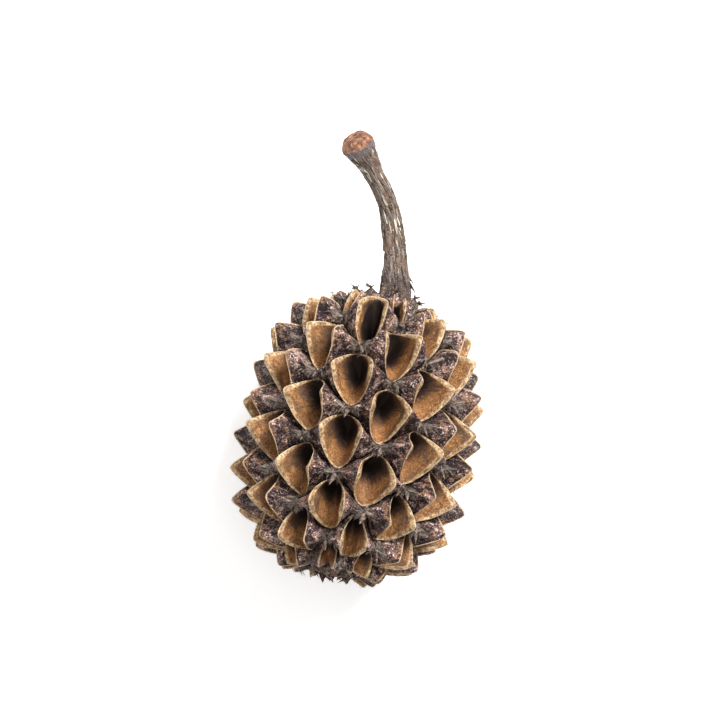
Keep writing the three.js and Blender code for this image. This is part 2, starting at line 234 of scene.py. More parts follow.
class Cups:
    """Every cup's place and rim, as arrays with one row a cup and one column a place around its mouth.
    The first whorl is small and half shut, and one cup of the second has a raised, roofed upper rim."""

    def __init__(self, row, column, around):
        self.row, self.column = row, column
        self.angle, self.arc = lattice_place(row, column)
        self.radius = radius_at(self.arc)
        cell_width = self.radius * COLUMN_STEP
        self.full = np.minimum(1, cell_width / FULL_CELL_WIDTH)
        closing = FIRST_WHORL_VARIES * vary(row, column, 16)
        roofed = (row == 1) & (vary(row, column, 30) > ROOF_DRAW)
        # These cups' linings get deeper painted shade.
        self.shaded = (row == 0) | roofed
        self.turn = 2 * np.pi * np.arange(around) / around
        across, along = np.cos(self.turn), np.sin(self.turn)
        across = np.where(np.abs(across) < 1e-9, 0, across)
        full_reach = math.hypot(1, TIP_ROUNDING) - TIP_ROUNDING
        reach = (np.hypot(along, TIP_ROUNDING) - TIP_ROUNDING) / full_reach
        right_width = 1 + MOUTH_WIDTH_VARIES * vary(row, column, 4)
        left_width = 1 + MOUTH_WIDTH_VARIES * vary(row, column, 8)
        width = MOUTH_HALF_WIDTH * cell_width * np.where(across > 0, right_width, left_width)
        width = width * np.where(row == 0, FIRST_WHORL_WIDTH * (1 - closing), 1)
        top = MOUTH_TOP * (row_arc(row) - row_arc(row - 1))
        bottom = MOUTH_BOTTOM * (row_arc(row + 1) - row_arc(row))
        shift = TIP_SHIFT * (1 + TIP_SHIFT_VARIES * vary(row, column, 5))
        height = TIP_HEIGHT * (SMALLEST_CUP_HEIGHT + (1 - SMALLEST_CUP_HEIGHT) * self.full)
        height = height * np.where(row == 0, FIRST_WHORL_HEIGHT, 1)
        right = height * (1 + TIP_HEIGHT_VARIES * vary(row, column, 6))
        left = height * (1 + TIP_HEIGHT_VARIES * vary(row, column, 7))
        tip = np.where(across > 0, right, left)
        top_notch = np.where(roofed, ROOF_HEIGHT, TOP_NOTCH_HEIGHT)
        notch = np.where(along > 0, top_notch, BOTTOM_NOTCH_HEIGHT) * self.full
        wobble_at = self.noise_at(across, along, (2.2, 2.2), (5.3, 3.1))
        rough = RIM_ROUGHNESS * self.full
        open_share = np.maximum(0, 1 - reach**MOUTH_POWER)
        fullness = np.where(along > 0, UPPER_FULLNESS, LOWER_FULLNESS)
        side = np.sign(across) * width * open_share**fullness
        ragged = soft_noise(wobble_at, 1) + 0.6 * soft_noise(2.6 * wobble_at, 12)
        side = side * (1 + RIM_ROUGHNESS * ragged)
        side = side + MOUTH_SIDE_SHIFT * self.full * vary(row, column, 10)
        up = along * np.where(along > 0, top, bottom) + shift * (1 - reach)
        twist = MOUTH_TWIST * vary(row, column, 9)
        self.side = side - twist * up
        self.up = up + twist * side
        self.high = notch + (tip - notch) * (1 - reach) + rough * soft_noise(1.7 * wobble_at, 2)
        thins_above = np.where(roofed, -ROOF_LIP_THICKENS, LIP_THINS_ABOVE)
        thin = 1 - np.where(along > 0, thins_above, LIP_THINS_BELOW) * reach**3
        self.lip = (LIP_WIDTH * thin + LIP_EXTRA_AT_TIP * np.abs(across) ** 4) * self.full
        self.depth = POCKET_DEPTH * self.full
        self.floor_up = POCKET_UP * top

    def noise_at(self, side, up, scales, levels):
        """Places to draw noise at: the offsets times their scales, and a level for each cup."""
        level = levels[0] * self.row + levels[1] * self.column
        flat = 0 * (side + level)
        return np.stack([scales[0] * side + flat, scales[1] * up + flat, level + flat], -1)

    def point(self, side, up, height):
        """A point of each cup by its offsets across, towards the stalk and outwards."""
        return on_head(self.angle + side / self.radius, self.arc - up, height)

    def points(self, side, up, height):
        """The same for rings stacked as cups, rings and places around the mouth."""
        angle = self.angle[..., None] + side / self.radius[..., None]
        return on_head(angle, self.arc[..., None] - up, height)

    def grain(self, share):
        """Places for streaks up a cup's wall: on a circle round it, at its level plus the share."""
        circle = GRAIN_RADIUS * np.stack([np.cos(self.turn), np.sin(self.turn)])
        level = 4.1 * self.row[..., None] + 2.3 * self.column[..., None] + share
        return np.stack([circle[0] + 0 * share, circle[1] + 0 * share, level], axis=-1)

    def on_lip(self, t):
        """Offsets on the lip: a straight slope inwards and down from the rim, a little rounded."""
        drop = self.lip * math.cos(LIP_SLOPE)
        inward = 1 - t * self.lip * math.sin(LIP_SLOPE) / np.hypot(self.side, self.up)
        height = self.high - t * drop + LIP_CROWN * t * (1 - t) * self.full
        return self.side * inward, self.up * inward, height

    def on_wall(self, t):
        """Offsets on the lining: a quadratic curve from the inner lip, by a shoulder, to the floor."""
        side, up, height = self.on_lip(1)
        height = height - LIP_STEP * self.full * (1 - math.exp(-t / LIP_STEP_REACH))
        a, b, c = (1 - t) ** 2, 2 * t * (1 - t), t**2
        shoulder = -(SHOULDER_DEPTH * self.depth + SHOULDER_DROP * self.full)
        shoulder_up = SHOULDER_UP * self.up + SHOULDER_LEAN * self.floor_up
        return (
            a * side + b * SHOULDER_SIDE * self.side,
            a * up + b * shoulder_up + c * self.floor_up,
            a * height + b * shoulder - c * self.depth,
        )


def ring_faces(first, second):
    """Quads between closed rings of vertex numbers, facing whoever sees them run anticlockwise."""
    corners = [first, np.roll(first, -1, -1), np.roll(second, -1, -1), second]
    return np.stack(corners, axis=-1).reshape(-1, 4)


def fan_faces(ring, middle):
    """Triangles from closed rings of vertex numbers to a middle point each."""
    middle = np.broadcast_to(np.asarray(middle)[..., None], ring.shape)
    return np.stack([ring, np.roll(ring, -1, -1), middle], axis=-1).reshape(-1, 3)


def add_piece(name, points, quads, triangles, material, attributes, replaces):
    """One welded, smooth-shaded mesh object with named vertex attributes, on the cone's only body."""
    mesh = bpy.data.meshes.new(name)
    mesh.from_pydata(points.tolist(), [], quads.tolist() + triangles.tolist())
    for key, values in attributes.items():
        kind, field = ("FLOAT", "value") if values.ndim == 1 else ("FLOAT_VECTOR", "vector")
        mesh.attributes.new(key, kind, "POINT").data.foreach_set(field, values.ravel())
    shell = bmesh.new()
    shell.from_mesh(mesh)
    bmesh.ops.remove_doubles(shell, verts=shell.verts, dist=WELD_DISTANCE)
    shell.to_mesh(mesh)
    shell.free()
    mesh.polygons.foreach_set("use_smooth", np.ones(len(mesh.polygons), bool))
    mesh.materials.append(material)
    piece = bpy.data.objects.new(name, mesh)
    bpy.context.scene.collection.objects.link(piece)
    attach(piece, "root")
    if replaces:
        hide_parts(replaces)
    return piece


class Nodes:
    """Short ways to add and link shader nodes in one new material."""

    def __init__(self, name, roughness, bump_strength, bump_distance):
        self.material = bpy.data.materials.new(name)
        self.material.use_nodes = True
        self.tree = self.material.node_tree
        self.shader = self.tree.nodes["Principled BSDF"]
        self.shader.inputs["Roughness"].default_value = roughness
        self.shader.inputs["Specular IOR Level"].default_value = 0.3
        self.bump = self.add("ShaderNodeBump", Strength=bump_strength, Distance=bump_distance * MM)
        self.tree.links.new(self.bump.outputs[0], self.shader.inputs["Normal"])
        place = self.add("ShaderNodeTexCoord").outputs["Object"]
        self.place = self.vector("SCALE", place, scale=1 / MM)

    def fill(self, slot, value):
        if isinstance(value, bpy.types.NodeSocket):
            self.tree.links.new(value, slot)
        else:
            slot.default_value = value

    def add(self, kind, settings=None, **inputs):
        node = self.tree.nodes.new(kind)
        for key, value in (settings or {}).items():
            setattr(node, key, value)
        for key, value in inputs.items():
            self.fill(node.inputs[key.replace("_", " ")], value)
        return node

    def vector(self, operation, a, b=None, scale=None):
        node = self.tree.nodes.new("ShaderNodeVectorMath")
        node.operation = operation
        self.fill(node.inputs[0], a)
        if b is not None:
            self.fill(node.inputs[1], b)
        if scale is not None:
            self.fill(node.inputs["Scale"], scale)
        return node.outputs[0]

    def math(self, operation, a, b=0.0, c=0.0):
        node = self.tree.nodes.new("ShaderNodeMath")
        node.operation = operation
        for slot, value in zip(node.inputs, (a, b, c)):
            self.fill(slot, value)
        return node.outputs[0]

    def times(self, a, b):
        return self.math("MULTIPLY", a, b)

    def plus(self, a, b):
        return self.math("ADD", a, b)

    def swing(self, noise, amount):
        """A noise's swing to either side of its middle value, times an amount."""
        return self.times(self.math("SUBTRACT", noise, 0.5), amount)

    def attribute(self, name, vector=False):
        node = self.tree.nodes.new("ShaderNodeAttribute")
        node.attribute_name = name
        return node.outputs["Vector" if vector else "Fac"]

    def noise(self, vector, scale, detail=3.0, roughness=0.55):
        settings = {"Vector": vector, "Scale": scale, "Detail": detail, "Roughness": roughness}
        return self.add("ShaderNodeTexNoise", **settings).outputs[0]

    def grains(self, vector, scale, size, share):
        """Scattered round grains: 1 near a Voronoi cell's seed, in that share of the cells."""
        node = self.add("ShaderNodeTexVoronoi", Vector=vector, Scale=scale)
        dot = self.smooth(node.outputs["Distance"], size, 0.5 * size)
        draw = self.tree.nodes.new("ShaderNodeSeparateColor")
        self.tree.links.new(node.outputs["Color"], draw.inputs[0])
        return self.times(dot, self.math("LESS_THAN", draw.outputs[0], share))

    def smooth(self, value, low, high):
        """0 below low to 1 above high in a smooth step, or 1 to 0 where low is above high."""
        node = self.add("ShaderNodeMapRange", {"interpolation_type": "SMOOTHSTEP"}, Value=value)
        node.inputs["From Min"].default_value = min(low, high)
        node.inputs["From Max"].default_value = max(low, high)
        if low > high:
            node.inputs["To Min"].default_value, node.inputs["To Max"].default_value = 1, 0
        return node.outputs[0]

    def ramp(self, value, *stops):
        node = self.tree.nodes.new("ShaderNodeValToRGB")
        self.fill(node.inputs[0], value)
        elements = node.color_ramp.elements
        while len(elements) < len(stops):
            elements.new(0.5)
        for element, (position, colour) in zip(elements, stops):
            element.position = position
            element.color = (*colour, 1)
        return node.outputs[0]

    def mix(self, factor, a, b):
        node = self.tree.nodes.new("ShaderNodeMix")
        node.data_type = "RGBA"
        for slot, value in zip((node.inputs[0], node.inputs[6], node.inputs[7]), (factor, a, b)):
            self.fill(slot, (*value, 1) if isinstance(value, tuple) else value)
        return node.outputs[2]

    def paint(self, under, mask, strength, over):
        """One colour with another painted over it, by strength where the mask is 1."""
        return self.mix(self.times(mask, strength), under, over)

    def finish(self, colour, height, roughness=None):
        self.tree.links.new(colour, self.shader.inputs["Base Color"])
        self.tree.links.new(height, self.bump.inputs["Height"])
        if roughness is not None:
            self.tree.links.new(roughness, self.shader.inputs["Roughness"])
        return self.material


wood = Nodes("scaly_wood", 0.62, 1.0, 0.12)
reach, grey, crest = wood.attribute("reach"), wood.attribute("grey"), wood.attribute("crest")
grain = wood.attribute("grain", vector=True)
patch = wood.noise(wood.place, 2.6, 4, 0.65)
fine = wood.noise(wood.place, 8.0, 4, 0.7)
streak = wood.noise(wood.vector("MULTIPLY", grain, (3.0, 3.0, 1.6)), 1.0, 4, 0.7)
wrinkle = wood.times(streak, wood.smooth(wood.noise(wood.place, 0.9, 4), 0.35, 0.65))
blotch = wood.swing(wood.noise(wood.place, 1.1, 3), 0.7)
# Painted light and shade: the tone is raised on the crests of the relief and lowered in its valleys.
tone = wood.plus(wood.plus(patch, blotch), wood.times(crest, 0.15))
colour = wood.ramp(
    tone,
    (0.37, (0.014, 0.006, 0.007)),
    (0.49, (0.04, 0.02, 0.026)),
    (0.58, (0.17, 0.096, 0.086)),
    (0.68, (0.56, 0.36, 0.29)),
)
colour = wood.paint(colour, wood.smooth(fine, 0.54, 0.63), 0.78, (0.47, 0.31, 0.255))
colour = wood.mix(wood.smooth(fine, 0.48, 0.39), colour, (0.016, 0.008, 0.01))
rusty = wood.plus(wood.noise(wood.place, 1.3, 3), wood.times(wood.smooth(reach, 0.55, 0.95), 0.08))
rust = wood.mix(wood.smooth(fine, 0.42, 0.58), (0.1, 0.04, 0.025), (0.46, 0.24, 0.13))
colour = wood.paint(colour, wood.smooth(rusty, 0.52, 0.64), 0.6, rust)
pebbles = wood.grains(wood.vector("ADD", wood.place, (3.7, 1.9, 5.3)), 8.0, 0.5, 0.5)
pebbles = wood.times(pebbles, wood.smooth(tone, 0.38, 0.52))
colour = wood.paint(colour, pebbles, 0.65, (0.52, 0.32, 0.24))
specks = wood.grains(wood.place, 6.0, 0.5, 0.42)
specks = wood.times(specks, wood.smooth(tone, 0.42, 0.58))
colour = wood.paint(colour, specks, 0.95, (1.0, 0.84, 0.76))
fibres = wood.noise(wood.vector("MULTIPLY", grain, (6.0, 6.0, 2.0)), 1.0, 5, 0.8)
fibre_colour = wood.ramp(
    fibres, (0.38, (0.025, 0.02, 0.017)), (0.5, (0.16, 0.122, 0.1)), (0.62, (0.55, 0.45, 0.36))
)
fluff = wood.smooth(wood.plus(grey, wood.times(fibres, 0.7)), 0.55, 0.85)
colour = wood.mix(fluff, colour, fibre_colour)
edge_line = wood.times(wood.smooth(reach, 0.95, 0.985), wood.smooth(patch, 0.34, 0.56))
colour = wood.mix(edge_line, colour, (0.62, 0.45, 0.32))
# Painted shade: near black where the relief sinks deepest, in the cracks.
colour = wood.paint(colour, wood.smooth(crest, -1.0, -1.9), 0.92, (0.008, 0.005, 0.005))
# Painted shade: near black along the foot of each valve back, between the cells, except under grey
# fibre.
crevice_shade = wood.times(wood.smooth(reach, 0.19, 0.03), wood.math("SUBTRACT", 1.0, fluff))
colour = wood.paint(colour, crevice_shade, 0.93, (0.015, 0.007, 0.005))
height = wood.plus(wood.times(patch, 1.2), wood.times(fine, 0.7))
height = wood.plus(height, wood.times(wrinkle, 1.3))
height = wood.plus(height, wood.times(wood.plus(specks, pebbles), 0.3))
height = wood.plus(height, wood.times(wood.times(fibres, fluff), 1.5))
rough = wood.math("SUBTRACT", 0.75, wood.times(wood.smooth(fine, 0.4, 0.7), 0.35))
scaly_wood = wood.finish(colour, height, rough)

all_rows, all_columns = np.meshgrid(np.arange(WHORLS), np.arange(COLUMNS), indexing="ij")
grown = (all_rows + all_columns) % 2 == 0
CUP_ROWS, CUP_COLUMNS = all_rows[grown][:, None], all_columns[grown][:, None]
CUP_COUNT = len(CUP_ROWS)


def valve_backs(cups):
    """Rings from each cell's edge up the outside of its valves to the rim, raised as t ** BACK_CROWN,
    then three under the lining. Gives points, reach (0 at the cell's edge, 1 at the rim), greyness, the
    height of the wrinkles and grain."""
    angle, arc, height, near = cell_edge(cups.row, cups.column, BACK_AROUND)
    edge_side, edge_up = (angle - cups.angle) * cups.radius, cups.arc - arc
    rings = []
    for t in BACK_SHARES:
        groove = GROOVE_DEPTH * cups.full * np.maximum(0, 1 - near)
        groove = groove * math.exp(-((t / GROOVE_REACH) ** 2))
        side = edge_side + t * (cups.side - edge_side)
        up = edge_up + t * (cups.up - edge_up)
        rise = height + t**BACK_CROWN * (cups.high - height) - groove
        skin_at = cups.noise_at(side, up, (1.8, 1.8), (6.1, 3.7))
        streak_at = cups.noise_at(side, up, (1.5, 3.6), (2.1, 7.7))
        crease = 1 - 2 * np.abs(soft_noise(1.5 * streak_at, 6))
        bumps = soft_noise(skin_at, 3) + 0.6 * soft_noise(2.4 * skin_at, 4)
        bumps = bumps + 0.6 * soft_noise(streak_at, 5)
        cracked = np.clip(1.8 * soft_noise(0.6 * skin_at, 23) + CRACK_GAPS, 0, 1)
        bumps = bumps - CRACK_DEPTH * np.maximum(0, crease) ** 3 * cracked
        rough = BACK_ROUGHNESS * math.sin(math.pi * min(0.98, max(0.02, t))) ** 0.6
        rise = rise + rough * bumps * cups.full
        rings.append((side, up, rise, t + 0 * side, near * (1 - t) ** GREY_FADE, bumps))
    for t in UNDER_SHARES:
        side, up, rise = cups.on_wall(t)
        side, up = side * UNDER_SPREAD[0], up * UNDER_SPREAD[1]
        rings.append((side, up, rise - UNDER_LINING * cups.full, 0 * side, 0 * side, 0 * side))
    side, up, rise, reach, grey, crest = [np.stack(part, axis=1) for part in zip(*rings)]
    return cups.points(side, up, rise), reach, grey, crest, cups.grain(reach)


def barren_cells(row, column):
    """Rings for cells with no cup: the cell's edge drawn in to a low middle."""
    angle, arc = lattice_place(row, column)
    edge_angle, edge_arc, edge_height = cell_edge(row, column, BACK_AROUND)[:3]
    rings = []
    for t in BARREN_SHARES:
        ring_angle, ring_arc = edge_angle + t * (angle - edge_angle), edge_arc + t * (arc - edge_arc)
        rings.append(on_head(ring_angle, ring_arc, edge_height + t * (BARREN_HEIGHT - edge_height)))
    return np.stack(rings, axis=1), on_head(angle, arc, BARREN_HEIGHT)[:, 0]


def cap_rings(row, tip_end):
    """The zigzag of cell edges round a pole, drawn in to it in three rings and closed by a low bud."""
    count = COLUMNS // 2
    column = 2 * np.arange(count) + abs(row) % 2
    column = COLUMNS - column if tip_end else column
    edge = cell_edge(np.full((count, 1), row), column[:, None], BACK_AROUND)
    first = BACK_AROUND if tip_end else BACK_AROUND // 2
    pick = (first - np.arange(BACK_AROUND // 2)) % BACK_AROUND
    angle, arc, height = [part[:, pick].reshape(-1) for part in edge[:3]]
    pole_arc, pole_height = (MERIDIAN_LENGTH, BUD_HEIGHT) if tip_end else (0.0, 0.0)
    shares = np.array(CAP_SHARES)[:, None]
    ring_arc = arc + shares * (pole_arc - arc)
    rings = on_head(angle + 0 * ring_arc, ring_arc, height + shares * (pole_height - height))
    return rings, on_head(np.zeros(1), np.full(1, pole_arc), np.full(1, pole_height))


cups = Cups(CUP_ROWS, CUP_COLUMNS, BACK_AROUND)
back_points, back_reach, back_grey, back_crest, back_grain = valve_backs(cups)
points = [back_points.reshape(-1, 3), cups.point(0, cups.floor_up, -cups.depth - UNDER_LINING)[:, 0]]
reaches = [back_reach.ravel(), np.zeros(CUP_COUNT)]
greys = [back_grey.ravel(), np.zeros(CUP_COUNT)]
numbers = np.arange(back_reach.size).reshape(back_reach.shape)
quads = [ring_faces(numbers[:, :-1], numbers[:, 1:])]
triangles = [fan_faces(numbers[:, -1], back_reach.size + np.arange(CUP_COUNT))]

end_rows = np.repeat([-1, WHORLS], COLUMNS // 2)[:, None]
end_columns = np.concatenate([np.arange(1, COLUMNS, 2), np.arange(0, COLUMNS, 2)])[:, None]
barren_points, barren_middles = barren_cells(end_rows, end_columns)
start = sum(len(part) for part in points)
numbers = start + np.arange(barren_points[..., 0].size).reshape(barren_points.shape[:3])
middles = start + numbers.size + np.arange(len(end_rows))
quads.append(ring_faces(numbers[:, :-1], numbers[:, 1:]))
triangles.append(fan_faces(numbers[:, -1], middles))
points += [barren_points.reshape(-1, 3), barren_middles]
for row, tip_end in ((-1, False), (WHORLS, True)):
    cap, pole = cap_rings(row, tip_end)
    start = sum(len(part) for part in points)
    numbers = start + np.arange(cap[..., 0].size).reshape(cap.shape[:2])
    quads.append(ring_faces(numbers[:-1], numbers[1:]))
    triangles.append(fan_faces(numbers[-1], start + numbers.size))
    points += [cap.reshape(-1, 3), pole]
points = np.concatenate(points)
plain = len(points) - back_reach.size - CUP_COUNT
reaches.append(np.full(plain, PLAIN_REACH))
greys.append(np.full(plain, PLAIN_GREY))
grain = np.zeros((len(points), 3))
grain[: back_reach.size] = back_grain.reshape(-1, 3)
crest = np.zeros(len(points))
crest[: back_reach.size] = back_crest.ravel()
add_piece(
    "head_wood",
    at_rest(points),
    np.concatenate(quads),
    np.concatenate(triangles),
    scaly_wood,
    {"reach": np.concatenate(reaches), "grey": np.concatenate(greys), "crest": crest, "grain": grain},
    "cone_head",
)

# The cup linings: the inner layer of each pair of valves, a shell about a tenth of a millimetre thick.
# Its pale lip shows where the valves parted. Below it the lining is golden to orange brown and finely
# striped from lip to floor; painted shade darkens its stalkward side and turns it nearly black at the
# bottom.
LINING_AROUND = 60
LINING_THICKNESS = 0.1
LIP_PROUD = 0.03
LIP_SHARES = (0.0, 0.12, 0.35, 0.65, 1.0)
WALL_SHARES = (0.04, 0.12, 0.22, 0.34, 0.46, 0.58, 0.7, 0.82, 0.92)
LINING_ROUGHNESS = 0.035
SHADED_BY = 0.4
SHELL_SHARES = (0.7, 0.3, 0.0)
SHELL_SPREAD = (1.02, 1.015)
RIM_FOOT = 0.05

lining = Nodes("cup_lining", 0.68, 0.7, 0.07)
depth = lining.attribute("depth")
grain = lining.attribute("grain", vector=True)
broad = lining.noise(lining.place, 0.8, 3)
mottle = lining.noise(lining.place, 3.2, 5, 0.65)
fine = lining.noise(lining.place, 8.5, 4, 0.75)
stripes = lining.noise(lining.vector("MULTIPLY", grain, (4.5, 4.5, 0.9)), 1.0, 4, 0.65)
lip_colour = lining.ramp(
    mottle, (0.36, (0.13, 0.07, 0.032)), (0.5, (0.42, 0.265, 0.135)), (0.63, (0.78, 0.57, 0.34))
)
wall_colour = lining.ramp(
    mottle, (0.34, (0.13, 0.05, 0.018)), (0.5, (0.34, 0.15, 0.052)), (0.64, (0.56, 0.3, 0.12))
)
wall_colour = lining.mix(lining.smooth(broad, 0.48, 0.62), wall_colour, (0.16, 0.085, 0.045))
wall_colour = lining.paint(wall_colour, lining.smooth(stripes, 0.46, 0.34), 0.45, (0.07, 0.034, 0.016))
stalkward = lining.add("ShaderNodeSeparateXYZ", Vector=grain).outputs["Y"]
# Painted light and shade: the lower wall, which faces the light, is painted a paler orange, and the
# stalkward wall darker, with a ragged edge between them.
upper = lining.plus(stalkward, lining.swing(mottle, 1.2))
upper = lining.plus(upper, lining.swing(broad, 4.0))
on_wall = lining.smooth(depth, 1.05, 1.2)
lit_lower_wall = lining.times(lining.smooth(upper, 0.05, -0.2), on_wall)
shaded_upper_wall = lining.times(lining.smooth(upper, -0.1, 0.15), on_wall)
wall_colour = lining.paint(wall_colour, lit_lower_wall, 0.3, (0.58, 0.27, 0.09))
wall_colour = lining.paint(wall_colour, shaded_upper_wall, 0.58, (0.125, 0.075, 0.047))
grainy = lining.noise(lining.place, 5.2, 5, 0.8)
wall_colour = lining.paint(wall_colour, lining.smooth(grainy, 0.49, 0.4), 0.6, (0.08, 0.036, 0.018))
ragged = lining.plus(depth, lining.swing(mottle, 0.8))
colour = lining.mix(lining.smooth(ragged, 0.84, 1.04), lip_colour, wall_colour)
colour = lining.paint(colour, lining.smooth(depth, 0.3, 0.0), 0.65, (0.85, 0.66, 0.42))
colour = lining.paint(colour, lining.smooth(fine, 0.5, 0.38), 0.8, (0.085, 0.035, 0.015))
colour = lining.paint(colour, lining.smooth(fine, 0.55, 0.67), 0.45, (0.72, 0.47, 0.25))
# Painted shade: dark brown and then nearly black with depth, a little darker on the stalkward side.
shade = lining.plus(depth, lining.swing(stripes, 0.5))
shade = lining.plus(shade, lining.times(stalkward, 0.16))
shade = lining.plus(shade, lining.swing(mottle, 0.5))
colour = lining.mix(lining.smooth(shade, 1.12, 1.45), colour, (0.065, 0.033, 0.02))
colour = lining.mix(lining.smooth(shade, 1.38, 1.62), colour, (0.015, 0.008, 0.006))
# Painted shade: near black at the top of each mouth, under its stalkward rim, below the lip.
top_hollow_shade = lining.times(lining.smooth(stalkward, 1.85, 2.12), lining.smooth(depth, 0.3, 0.9))
colour = lining.mix(top_hollow_shade, colour, (0.03, 0.02, 0.016))
height = lining.plus(lining.times(stripes, 0.7), lining.times(mottle, 1.0))
height = lining.plus(height, lining.times(fine, 0.5))
cup_lining = lining.finish(colour, height)

cups = Cups(CUP_ROWS, CUP_COLUMNS, LINING_AROUND)
rings = []
for t in SHELL_SHARES:
    side, up, rise = cups.on_wall(t)
    side, up = side * SHELL_SPREAD[0], up * SHELL_SPREAD[1]
    rings.append((side, up, rise - LINING_THICKNESS * cups.full, 1 + t + 0 * side))
outward = 1 + LIP_PROUD / np.hypot(cups.side, cups.up)
rings.append((cups.side * outward, cups.up * outward, cups.high - RIM_FOOT, 0 * cups.side))
for t in LIP_SHARES:
    side, up, rise = cups.on_lip(t)
    spread = 1 + (outward - 1) * (1 - t)
    rings.append((side * spread, up * spread, rise + LIP_PROUD * (1 - t), t + 0 * side))
for t in WALL_SHARES:
    side, up, rise = cups.on_wall(t)
    skin_at = cups.noise_at(side, up, (1.6, 1.6), (3.3, 5.9))
    rough = LINING_ROUGHNESS * cups.full * (soft_noise(skin_at, 6) + 0.5 * soft_noise(2.7 * skin_at, 7))
    # The first whorl and the roofed cup get deeper painted shade: their depth values are raised down
    # the wall.
    extra_shade = min(1, 4 * t) * SHADED_BY * cups.shaded
    rings.append((side, up, rise + rough, 1 + t + extra_shade + 0 * side))
side, up, rise, depth = [np.stack(part, axis=1) for part in zip(*rings)]
shell_points = cups.points(side, up, rise)
grain = cups.grain(depth).reshape(-1, 3)
floors = cups.point(0, cups.floor_up, -cups.depth)[:, 0]
under = cups.point(0, cups.floor_up, -cups.depth - LINING_THICKNESS)[:, 0]
numbers = np.arange(depth.size).reshape(depth.shape)
at_floor = depth.size + np.arange(CUP_COUNT)
add_piece(
    "cup_linings",
    at_rest(np.concatenate([shell_points.reshape(-1, 3), floors, under])),
    ring_faces(numbers[:, :-1], numbers[:, 1:]),
    np.concatenate(
        [fan_faces(numbers[:, -1], at_floor), fan_faces(numbers[:, 0, ::-1], at_floor + CUP_COUNT)]
    ),
    cup_lining,
    {
        "depth": np.concatenate([depth.ravel(), np.full(2 * CUP_COUNT, 2.0)]),
        "grain": np.concatenate([grain, np.zeros((2 * CUP_COUNT, 3))]),
    },
    None,
)

# Bract tips: the ragged, weathered points of the small leaves that stood under each cup, left where the
# corners of four cells meet. Each is one curved tooth with torn splinters of grey-brown fibre round it,
# larger and browner at both ends of the head.
BRACT_BLADES = 33
BLADE_RINGS = np.array([0.0, 0.3, 0.6, 0.85])
TOOTH_LENGTH = 0.95
TOOTH_WIDTH = 0.5
SPLINTER_LENGTH = 0.46
SPLINTER_WIDTH = 0.1
TUFT_WIDTH = 0.95
TUFT_LENGTH = 0.36
END_TOOTH_LENGTH = 1.45
END_TOOTH_WIDTH = 0.85
END_SPLINTER_LENGTH = 0.75
END_SPLINTER_WIDTH = 0.42
LONG_END_BLADES = 6
SHORT_END_LENGTH = 0.2
TUFT_HEIGHT = 0.28
FIRST_TUFT_SPREAD = 0.45
LENGTH_VARIES = 0.35
WIDTH_VARIES = 0.3
BLADE_THICKNESS = 0.45
BLADE_THINNEST = 0.03
BLADE_BEND = 0.15


def blades(base, along, across, length, width, thickness, bend):
    """Closed, pointed blades: diamond sections as wide as 1 - s ** 1.6, bent outwards as s * s."""
    normal = np.cross(along, across)
    normal /= np.linalg.norm(normal, axis=-1, keepdims=True)
    side = np.cross(normal, along)
    rings = []
    for s in BLADE_RINGS:
        middle = base + along * (s * length)[:, None] + normal * (bend * s * s)[:, None]
        wide, thick = width * (1 - s**1.6) * 0.5, thickness * (1 - s) * 0.5
        wide, thick = side * wide[:, None], normal * thick[:, None]
        rings.append(np.stack([middle + wide, middle + thick, middle - wide, middle - thick], axis=1))
    tip = base + along * length[:, None] + normal * bend[:, None]
    return np.stack(rings, axis=1), tip


def blade_faces(grid, tip):
    """Points, quads, triangles and shares along of blades, closed by a quad foot and a pointed tip."""
    count, levels = grid.shape[:2]
    numbers = np.arange(count * levels * 4).reshape(count, levels, 4)
    quads = np.concatenate([ring_faces(numbers[:, :-1], numbers[:, 1:]), numbers[:, 0, ::-1]])
    triangles = fan_faces(numbers[:, -1], count * levels * 4 + np.arange(count))
    share = np.concatenate([np.repeat(np.tile(BLADE_RINGS, count), 4), np.ones(count)])
    return np.concatenate([grid.reshape(-1, 3), tip]), quads, triangles, share


def blade_values(values):
    """A value for each blade, repeated for its ring points and then given once more for its end."""
    return np.concatenate([np.repeat(values, len(BLADE_RINGS) * 4), values])


corner = (all_rows + all_columns) % 2 == 1
corner_rows = np.concatenate([np.full(COLUMNS, -1), all_rows[corner], np.full(COLUMNS, WHORLS)])
corner_columns = np.concatenate([np.arange(COLUMNS), all_columns[corner], np.arange(COLUMNS)])
row = np.repeat(corner_rows, BRACT_BLADES)
column = np.repeat(corner_columns, BRACT_BLADES)
blade = np.tile(np.arange(BRACT_BLADES), len(corner_rows))
angle, arc = lattice_place(row, column)
size = np.minimum(1, radius_at(arc) / FULL_CELL_RADIUS)
is_tooth = blade == 0
over_cup = (row + column) % 2 == 1
at_end = ((row < 0) & ~over_cup) | (row >= WHORLS)
swing = 2.4 * blade + 0.8 * vary(row, column, 20 + blade)
scatter = np.where(is_tooth, 0.1, 0.55 + 0.45 * vary(row, column, 70 + blade)) * size
scatter = scatter * np.where(row < 0, FIRST_TUFT_SPREAD, 1)
base_angle = angle + TUFT_WIDTH * scatter * np.cos(swing) / radius_at(arc)
base_arc = arc + TUFT_LENGTH * scatter * np.sin(swing)
climb = scatter * (0.8 * np.abs(np.cos(swing)) - 0.45 * np.abs(np.sin(swing)))
on_mound = np.where((row < 0) & over_cup, MOUND_HEIGHT * (FIRST_MOUNDS - 1), 0)
base = on_head(base_angle, base_arc, (TUFT_HEIGHT + climb + on_mound) * size)
outward = on_head(base_angle, base_arc, 1) - on_head(base_angle, base_arc, 0)
tipward = on_head(base_angle, base_arc + 0.1, 0) - on_head(base_angle, base_arc, 0)
tipward /= np.linalg.norm(tipward, axis=-1, keepdims=True)
around = np.cross(tipward, outward)
lean = np.where(is_tooth, 1.0, 1.5 * np.sin(swing) + 0.9)
lean = np.where((row < 0) & ~over_cup, -0.7 - 0.5 * np.sin(swing), lean)
sway = np.where(is_tooth, 0.5 * vary(row, column, 40), np.cos(swing))
